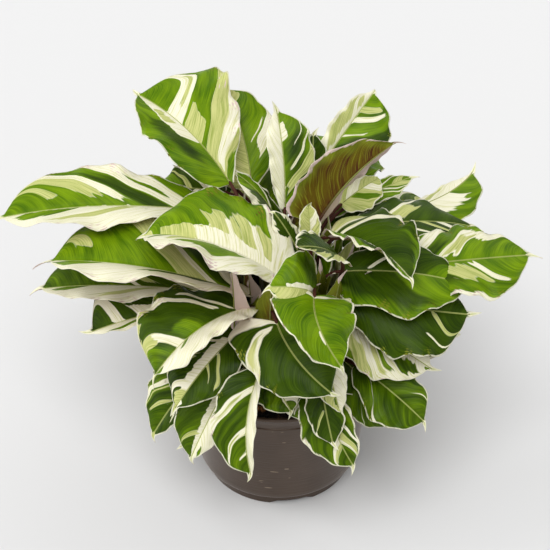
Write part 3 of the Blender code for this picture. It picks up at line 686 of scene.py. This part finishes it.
         patches="Lw 0-100 0-40, Ls 16-26 0-60, Lg 30-36 0-50, Rs 8-14, Rw 34-46, Rs 46-52 0-70, "
                 "Rw 70-76 0-80"),
    Leaf("leaf_back_5", (95, 31), (5, 55, 145), (5, 155, 110), (90, 60),
         12, 0, 70, 0.5, (18, 18), 35,
         patches="Rw 20-32, Rd 0-18 0-80, Lw 40-46, Ls 46-56 0-80, Rw 62-66 0-90, Ld 6-30 20-80"),
    Leaf("leaf_back_6", (60, 31), (60, 20, 140), (135, 60, 105), (20, 60),
         10, 0, 60, 0.5, (18, 18), 35,
         patches="Bd 0-50 0-80, Lw 24-34, Rw 50-60 0-90, Ls 62-70 0-90, Rs 12-18"),
    Leaf("leaf_back_7", (125, 31), (-55, 30, 140), (-130, 65, 100), (160, 60),
         10, 0, 62, 0.5, (18, 18), 35,
         patches="Rw 0-100 0-30, Ls 18-30 0-90, Lw 48-56, Rg 30-36 0-40, Rw 60-68, Ld 0-16"),
)


def facing(azimuth, elevation):
    """Unit vector with the given azimuth and elevation in degrees."""
    turn, rise = math.radians(azimuth), math.radians(elevation)
    return np.array((math.cos(turn) * math.cos(rise), math.sin(turn) * math.cos(rise), math.sin(rise)))


def unit(vectors):
    """Vectors scaled to length 1."""
    return vectors / np.linalg.norm(vectors, axis=-1, keepdims=True)


def dot(first, second):
    """Scalar product, kept as a column."""
    return (first * second).sum(-1, keepdims=True)


def chord(leaf):
    """Straight length of the blade."""
    return np.linalg.norm(np.subtract(leaf.tip, leaf.base))


def midrib(leaf, t):
    """Point, tangent, up and left at t: a chord from base to tip with a bow and a sweep of 4t(1 - t).

    The last tenth, the tail, curls aside by the square of the way along it, to a side of each leaf's own.
    """
    t = np.asarray(t, float)[..., None]
    base, tip = np.array(leaf.base, float), np.array(leaf.tip, float)
    along = unit(tip - base)
    face = facing(*leaf.face)
    normal = unit(face - dot(face, along) * along)
    offset = leaf.bow * normal + leaf.sweep * np.cross(normal, along)
    point = base + t * (tip - base) + 4 * t * (1 - t) * offset
    tangent = unit(tip - base + 4 * (1 - 2 * t) * offset)
    up = unit(normal - dot(normal, tangent) * tangent)
    left = np.cross(up, tangent)
    twist = math.radians(7 * leaf.foot[0] + 31 * leaf.foot[1])
    curl = TAIL_CURL * ((t - BODY_END) / (1 - BODY_END)).clip(0) ** 2
    return point + curl * (math.cos(twist) * left + math.sin(twist) * up), tangent, up, left


def half_width(leaf, t, is_left):
    """Half-wave of a sine warped to peak where the half is widest, and a tail that narrows to the tip."""
    along_body = np.minimum(t / BODY_END, 1.0)
    along_tail = np.minimum((1 - t) / (1 - BODY_END), 1.0)
    widest = np.where(is_left, *np.broadcast_to(leaf.widest, 2))
    bulge = np.sin(math.pi * along_body ** (math.log(0.5) / np.log(widest))).clip(0.0)
    share = np.where(is_left, *leaf.halves)
    body = share * leaf.width / 2 * bulge ** (BASE_FULLNESS + TIP_TAPER * along_body ** 4)
    return body + TAIL_HALF_WIDTH * along_tail ** TAIL_TAPER


def blade(leaf, vein, reach, phase):
    """Upper face over the side veins (0 base, 1 tip) and the reach along them (-1 right, 1 left margin).

    A vein leaves the midrib at t = vein and runs towards the tip.  Across the midrib each half is an arc
    that rises and then turns down, with a fine groove at the midrib, quilting between the veins, and
    ripples that grow towards the margin.
    """
    far = np.abs(reach)
    t = (vein + VEIN_REACH * far ** VEIN_BEND * np.sqrt(vein) * (1 - vein) ** VEIN_FADE).clip(0, 1)
    point, tangent, up, left = midrib(leaf, t)
    is_left = reach > 0
    side_phase = LEAF_SHIFT * phase + HALF_SHIFT * is_left
    margin_wave = sum(share * np.sin(2 * math.pi * (waves * t + shift * side_phase))
                      for share, waves, shift in MARGIN_WAVES)
    width = half_width(leaf, t, is_left) * (1 + margin_wave)
    rise = np.radians(np.where(is_left, *leaf.rise))
    turn = math.radians(leaf.turn)
    end = rise - turn * far
    sideways = np.sign(reach) * width * (np.sin(rise) - np.sin(end)) / turn
    upwards = width * (np.cos(end) - np.cos(rise)) / turn
    quilts = vein * chord(leaf) / QUILT_SPACING
    quilt = QUILT_HEIGHT * np.sin(2 * math.pi * quilts) * np.sin(math.pi * far) ** 0.5
    ripple = sum(height * far ** power * np.sin(2 * math.pi * (waves * t + shift * side_phase))
                 for height, power, waves, shift in RIPPLES)
    ripple *= leaf.width / RIPPLED_WIDTH * np.sin(math.pi * t)
    groove = -GROOVE_DEPTH * np.exp(-(far * width / GROOVE_HALF_WIDTH) ** 2)
    back = -np.where(is_left, *leaf.lobe) * width * far * (1 - t) ** 3
    upper = (point + back[..., None] * tangent + sideways[..., None] * left
             + (upwards + quilt + ripple + groove)[..., None] * up)
    return upper, up, width


def stalk_path(leaf):
    """Points of the stalk: a cubic from the foot, starting upwards, into the base of the midrib."""
    foot = leaf.foot[1] * facing(leaf.foot[0], 0) + (0, 0, SOIL_TOP - STALK_SUNK)
    base, tangent, _, _ = midrib(leaf, 0.0)
    handle = STALK_HANDLE * np.linalg.norm(base - foot)
    t = np.linspace(0, 1, STALK_ROWS)[:, None]
    s = 1 - t
    start_handle, end_handle = foot + (0, 0, handle), base - handle * tangent
    return s ** 3 * foot + 3 * s * s * t * start_handle + 3 * s * t * t * end_handle + t ** 3 * base


def stalk(leaf):
    """Tube along the stalk and on under the midrib, thinner towards the tip, as rows of rings."""
    run = np.linspace(MIDRIB_START, MIDRIB_END, MIDRIB_ROWS)
    point, _, up, _ = midrib(leaf, run)
    rib_radius = np.interp(run, (0, 0.25, MIDRIB_END), (STALK_RADII[-1][1], 0.8, 0.3))
    path = np.concatenate((stalk_path(leaf), point - (rib_radius + MIDRIB_SUNK)[:, None] * up))
    radius = np.concatenate((np.interp(np.linspace(0, 1, STALK_ROWS), *zip(*STALK_RADII)), rib_radius))
    tangent = unit(np.gradient(path, axis=0))
    side = np.empty_like(tangent)
    side[0] = unit(np.cross(tangent[0], facing(leaf.foot[0], 0)))
    for row in range(1, len(path)):
        side[row] = unit(side[row - 1] - dot(side[row - 1], tangent[row]) * tangent[row])
    other = np.cross(tangent, side)
    turn = np.linspace(0, 2 * math.pi, STALK_SIDES, endpoint=False)[None, :, None]
    circle = np.cos(turn) * side[:, None] + np.sin(turn) * other[:, None]
    return path[:, None] + radius[:, None, None] * circle


def paint(leaf, vein, reach):
    """How far each point lies inside (+) or outside (-) the pale, sage and dark patches.

    Pale patches are sage where that is positive and cream elsewhere.  Across the veins a patch's edge counts
    in full.  Where it ends along them it counts ALONG_SHARE, so that the streaks of the finish fray it, and
    MIDRIB_SHARE, which keeps it clean, when the patch ends close to the midrib.
    """
    length = chord(leaf)
    # The dark field starts higher on low leaves, as painted shade, and lower on high leaves, as painted
    # light.
    shade = LOW_LEAF_PAINTED_SHADE if leaf.tip[2] < LOW_LEAF_HEIGHT else HIGH_LEAF_PAINTED_LIGHT
    pale, sage, dark = (np.full(vein.shape, start) for start in (-FIELD_LIMIT, -FIELD_LIMIT, shade))
    for patch in filter(None, leaf.patches.split(", ")):
        (half, colour), *spans = patch.split()
        (start, end), (near, out) = (map(float, span.split("-")) for span in (*spans, "0-100", "0-100")[:2])
        outward = {"L": reach, "R": -reach, "B": np.abs(reach)}[half]
        inside = np.full(vein.shape, FIELD_LIMIT)
        if start > 0:
            inside = np.minimum(inside, (vein - start / 100) * length)
        if end < 100:
            inside = np.minimum(inside, (end / 100 - vein) * length)
        if near > 0:
            inside = np.minimum(inside, (outward - near / 100) * leaf.width / 2 * ALONG_SHARE)
        elif half != "B":
            # the other half starts sharply at the midrib
            inside = np.minimum(inside, outward * leaf.width * 2)
        if out < 100:
            share = ALONG_SHARE if out > MIDRIB_BAND else MIDRIB_SHARE
            inside = np.minimum(inside, (out / 100 - outward) * leaf.width / 2 * share)
        if colour in "ws":
            pale = np.maximum(pale, inside)
            sage = np.maximum(sage, inside) if colour == "s" else np.minimum(sage, -inside)
        else:
            pale = np.minimum(pale, -inside)
            dark = np.maximum(dark, inside) if colour == "d" else np.minimum(dark, -inside)
    pale = np.maximum(pale, (vein - BODY_END) * length)
    return np.stack((pale, sage, dark), -1)


def leaf_mesh(leaf, number, grid=BLADE_GRID):
    """Upper and lower face of the blade, joined at the margin, and the stalk, with values to colour them.

    veins holds the way along and across the blade, and the leaf's own shift of the streaks.  parts holds 1 on
    the underside, the way up the stalk (1 foot, 2 blade, 0 off it), and the distance to the margin.  patches
    holds what paint() gives.
    """
    rows, columns = grid
    vein = (1 - np.cos(np.linspace(0, math.pi, rows))) / 2
    vein, reach = np.meshgrid(vein, np.linspace(-1, 1, columns), indexing="ij")
    upper, up, width = blade(leaf, vein, reach, number)
    lower = upper - THICKNESS * up * (1 - MARGIN_THINNING * np.abs(reach) ** 4)[..., None]
    around = np.concatenate((upper, lower[:, ::-1]), axis=1)
    tube = stalk(leaf)
    blade_count = around.shape[0] * around.shape[1]
    points = np.concatenate((around.reshape(-1, 3), tube.reshape(-1, 3)))
    quads = np.concatenate((tube_quads(*around.shape[:2])[:, ::-1],
                            tube_quads(*tube.shape[:2])[:, ::-1] + blade_count))
    loop, ring = np.arange(around.shape[1]), np.arange(STALK_SIDES)
    caps = (loop, blade_count - 1 - loop, ring + blade_count, len(points) - 1 - ring)

    vein, reach, width = (np.concatenate((a, a[:, ::-1]), axis=1) for a in (vein, reach, width))
    under = np.broadcast_to(np.arange(2 * columns) >= columns, vein.shape).astype(float)
    shift = np.full_like(under, STREAK_SHIFT * number)
    veins = np.stack((vein * chord(leaf), reach * width, shift), -1)
    parts = np.stack((under, np.zeros_like(under), (1 - np.abs(reach)) * width), -1)
    colours = paint(leaf, vein, reach)
    along = np.concatenate((np.linspace(0, 1, STALK_ROWS), np.linspace(1, 1.2, MIDRIB_ROWS)))
    along = np.broadcast_to(along[:, None], tube.shape[:2])
    tube_veins = np.stack((along * STALK_STREAKS, np.zeros_like(along), np.full_like(along, shift[0, 0])), -1)
    tube_parts = np.stack((np.ones_like(along), 1 + along, np.full_like(along, STALK_MARGIN)), -1)
    attributes = {"veins": (veins, tube_veins), "parts": (parts, tube_parts),
                  "patches": (colours, np.full((*along.shape, 3), -FIELD_LIMIT))}
    attributes = {key: np.concatenate([values.reshape(-1, 3) for values in pair])
                  for key, pair in attributes.items()}
    return mesh_of(leaf.name + "_visual", points, quads, caps, attributes)


leaf_finish = Finish("leaf", 0.4)
leaf_finish.surface["Specular IOR Level"].default_value = 0.08


def attribute(name):
    return leaf_finish.node("ShaderNodeAttribute", {"attribute_name": name}, output="Vector")


veins, parts, patches = attribute("veins"), attribute("parts"), attribute("patches")
under, stalk_run, to_margin = parts.split()
pale_field, sage_field, dark_field = patches.split()
_, off_midrib, _ = veins.split()

# Streaks along the veins, from the broad bands to single hairs, and the fray that they give to patch edges.
tongue = leaf_finish.noise(leaf_finish.stretched(veins, (0.17, 0.030, 1.0)), 1.0, 2.0)
streak = leaf_finish.noise(leaf_finish.stretched(veins, (0.80, 0.050, 1.0)), 1.0, 3.0, 0.6)
hair = leaf_finish.noise(leaf_finish.stretched(veins, (2.6, 0.05, 1.0)), 1.0, 2.0)
band = leaf_finish.noise(leaf_finish.stretched(veins, (0.09, 0.045, 1.0)), 1.0, 2.0)
fray = (tongue - 0.5) * 8.0 + (streak - 0.5) * 0.9

# Upper face: the patches, the pale midrib and the fine margin.
is_dark = (dark_field + fray * 0.8).step(-2.2, 2.2)
is_sage = (sage_field + fray * 0.7).step(-0.35, 0.35)
is_pale = (pale_field + fray * 0.7).step(-0.25, 0.25)
shade = ((band - 0.5) * 1.1 + (hair - 0.5) * 1.0 + 0.5).step(0.05, 0.95)
bright = leaf_finish.mix(shade, (0.040, 0.111, 0.001), (0.205, 0.335, 0.004))
dark = leaf_finish.mix(shade, (0.012, 0.030, 0.001), (0.055, 0.105, 0.002))
lines = streak + (hair - 0.5) * 0.6
sage = leaf_finish.mix(lines.step(0.30, 0.62), (0.31, 0.37, 0.085), (0.57, 0.58, 0.22))
cream = leaf_finish.mix(lines.step(0.42, 0.76), (0.84, 0.81, 0.64), (0.58, 0.58, 0.24))
face = leaf_finish.mix(is_dark, bright, dark)
face = leaf_finish.mix(is_pale, face, leaf_finish.mix(is_sage, cream, sage))
rib = 1.0 - off_midrib.abs().step(0.25, 0.75)
face = leaf_finish.mix(rib * 0.7, face, (0.50, 0.55, 0.18))
pale_rim = 1.0 - (to_margin + fray * 0.15).step(FINE_MARGIN * 0.6, FINE_MARGIN * 1.2)
face = leaf_finish.mix(pale_rim * 0.85, face, (0.80, 0.78, 0.60))

# Underside: wine and olive with lime flecks and a lime edge, and blush where the upper face is pale.
flecks = (hair + (streak - 0.5) * 1.2 - to_margin * 0.004).step(0.50, 0.60)
olive = (tongue + (band - 0.5) * 0.8).step(0.38, 0.62)
wine = leaf_finish.mix(olive, (0.075, 0.024, 0.007), (0.125, 0.085, 0.006))
wine = leaf_finish.mix(flecks * 0.55, wine, (0.27, 0.29, 0.02))
lime_edge = 1.0 - (to_margin + fray * 1.5).step(3.0, 13.0)
wine = leaf_finish.mix(lime_edge * 0.6, wine, (0.22, 0.28, 0.02))
blush = leaf_finish.mix(is_pale, wine, (0.66, 0.52, 0.47))
# Stalk: near black at the foot, maroon above, and green where it runs on under the midrib.
stem = leaf_finish.mix(stalk_run.step(1.5, 2.0), (0.014, 0.004, 0.004), (0.07, 0.024, 0.016))
stem = leaf_finish.mix(stalk_run.step(2.0, 2.1), stem, (0.22, 0.24, 0.06))
skin = leaf_finish.mix(under, face, blush)
skin = leaf_finish.mix(stalk_run.min(1.0), skin, stem)
leaf_finish.feed(leaf_finish.surface["Base Color"], skin)
leaf_finish.feed(leaf_finish.surface["Roughness"], 0.27 + 0.14 * streak + 0.14 * under)
leaf_finish.bump(hair * 0.5 + streak, 0.0005, 0.4)

for number, leaf in enumerate(LEAVES, 1):
    add_piece(leaf.name + "_visual", leaf_mesh(leaf, number), leaf_finish.material, leaf.name)


# ---- heart of the clump: maroon sheaths and furled shoots that stand close together between the stalks,
# every third one with pale bands, and leaves low down in the gaps, dark green partly as their own colour and
# partly as painted shade.  The shoots turn by the golden angle from one to the next, which fills a disc
# evenly.
SHOOTS = 36
SHOOT_TURN = 137.5
SHOOT_SPACING = 8.2
SHOOT_BASE = 94
SHOOT_SKEW = 8
SHADE_LEAVES = 16
SHADE_START = -50
SHADE_ARC = 250.0
SHADE_FOOT = 36
SHADE_BASE = 24
SHADE_NUMBER = 60
HEART_GRID = (30, 17)
HEART = np.array((6.0, 4.0, 0.0))
draw = np.random.default_rng(11)
for number in range(1, SHOOTS + 1):
    azimuth = SHOOT_TURN * number
    spot = HEART + SHOOT_SPACING * math.sqrt(number) * facing(azimuth, 0)
    foot = (math.degrees(math.atan2(spot[1], spot[0])), math.hypot(*spot[:2]))
    lean = facing(azimuth, 0) * draw.uniform(4, 14)
    base = tuple(spot + 0.3 * lean + (0, 0, SHOOT_BASE))
    tip = tuple(spot + lean + (SHOOT_SKEW, 0, draw.uniform(182, 215)))
    shoot = Leaf(f"shoot_{number}", foot, base, tip, (azimuth + 180, 10), 3, 0, draw.uniform(26, 36), 0.45,
                 (45, 45), 45, patches="Bs 12-100, Bw 30-60 0-60" if number % 3 == 0 else "")
    add_piece(shoot.name, leaf_mesh(shoot, number, HEART_GRID), leaf_finish.material)
for number in range(1, SHADE_LEAVES + 1):
    azimuth = SHADE_START + SHADE_ARC / SHADE_LEAVES * number
    outward = facing(azimuth, 0)
    base = tuple(SHADE_BASE * outward + (0, 0, draw.uniform(112, 128)))
    tip = tuple(draw.uniform(84, 104) * outward + (0, 0, draw.uniform(96, 112)))
    # Dark green all over, with one cream line: partly the leaf's own green, partly painted shade inside the
    # clump.
    shade_leaf = Leaf(f"shade_leaf_{number}", (azimuth, SHADE_FOOT), base, tip, (azimuth, 65), 8, 0,
                      draw.uniform(46, 58), 0.5, (15, 15), 35, patches="Bd, Lw 30-34")
    add_piece(shade_leaf.name, leaf_mesh(shade_leaf, SHADE_NUMBER + number, HEART_GRID),
                      leaf_finish.material)
